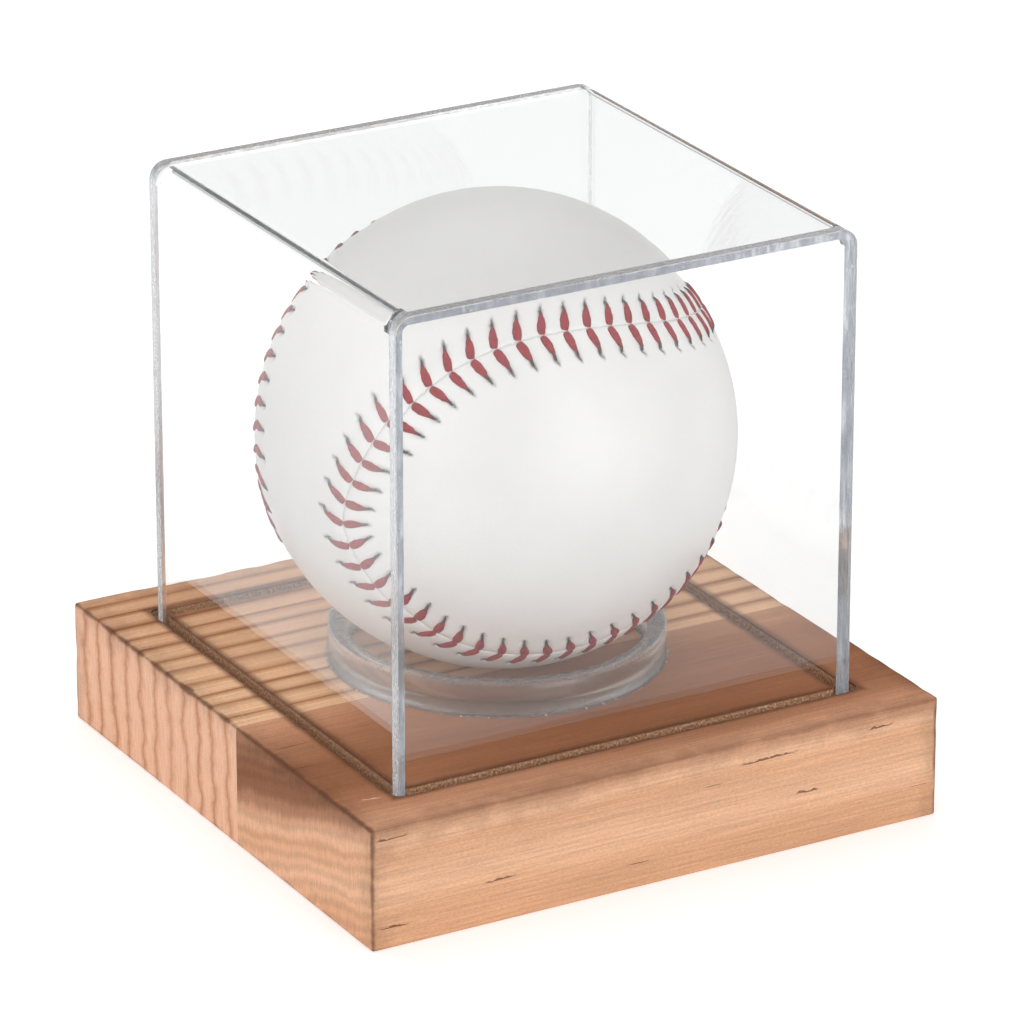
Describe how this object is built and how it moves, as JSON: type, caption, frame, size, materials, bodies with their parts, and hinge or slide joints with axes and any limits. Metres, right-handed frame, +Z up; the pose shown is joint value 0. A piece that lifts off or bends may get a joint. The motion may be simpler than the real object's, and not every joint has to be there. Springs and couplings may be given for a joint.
{
  "type": "baseball display case",
  "caption": "Clear square cover standing in a grooved wooden base over a baseball that rests inside a low clear ring; cover and ball lift off.",
  "frame": {"origin": "centre of the base's underside", "axes": "+Z up, -Y the long-grain front of the base, +X to the right seen from the front"},
  "size_m": [0.1, 0.1, 0.096],
  "materials": {
    "front_wood": "bare, burnt brown along the arrises",
    "rear_wood": "bare, ribbed along the grain",
    "clear_acrylic": "clear, polished",
    "ring_acrylic": "clear, slightly grey",
    "dried_glue": "clear with small bubbles",
    "cork_rubber": "matte granules",
    "black_rubber": "matte",
    "red_rubber": "matte",
    "grey_wool": "wound yarn",
    "white_wool": "wound yarn",
    "finishing_yarn": "fine wound yarn",
    "white_leather": "smooth, slightly glossy",
    "red_thread": "waxed"
  },
  "bodies": {
    "base": {"base_front_board": "front_wood", "base_rear_board": "rear_wood", "ring_stand": "ring_acrylic", "ring_adhesive": "dried_glue"},
    "cover": {"cover_bent_sheet": "clear_acrylic", "cover_front_panel": "clear_acrylic", "cover_back_panel": "clear_acrylic"},
    "ball": {"ball_cork_core": "cork_rubber", "ball_black_rubber_upper_cup": "black_rubber", "ball_black_rubber_lower_cup": "black_rubber", "ball_red_rubber_washer": "red_rubber", "ball_red_rubber_shell": "red_rubber", "ball_first_wool_winding": "grey_wool", "ball_second_wool_winding": "white_wool", "ball_third_wool_winding": "grey_wool", "ball_finishing_winding": "finishing_yarn", "ball_leather_first_half": "white_leather", "ball_leather_second_half": "white_leather", "ball_red_stitching": "red_thread"}
  },
  "joints": [
    {"name": "cover_lift", "type": "slide", "parent": "base", "child": "cover", "axis": [0, 0, 1], "range_m": [0, 0.14]},
    {"name": "ball_lift", "type": "slide", "parent": "base", "child": "ball", "axis": [0, 0, 1], "range_m": [0, 0.056]}
  ],
  "couplings": [
    {"joint": "ball_lift", "follows": "cover_lift", "ratio": 0.4}
  ]
}
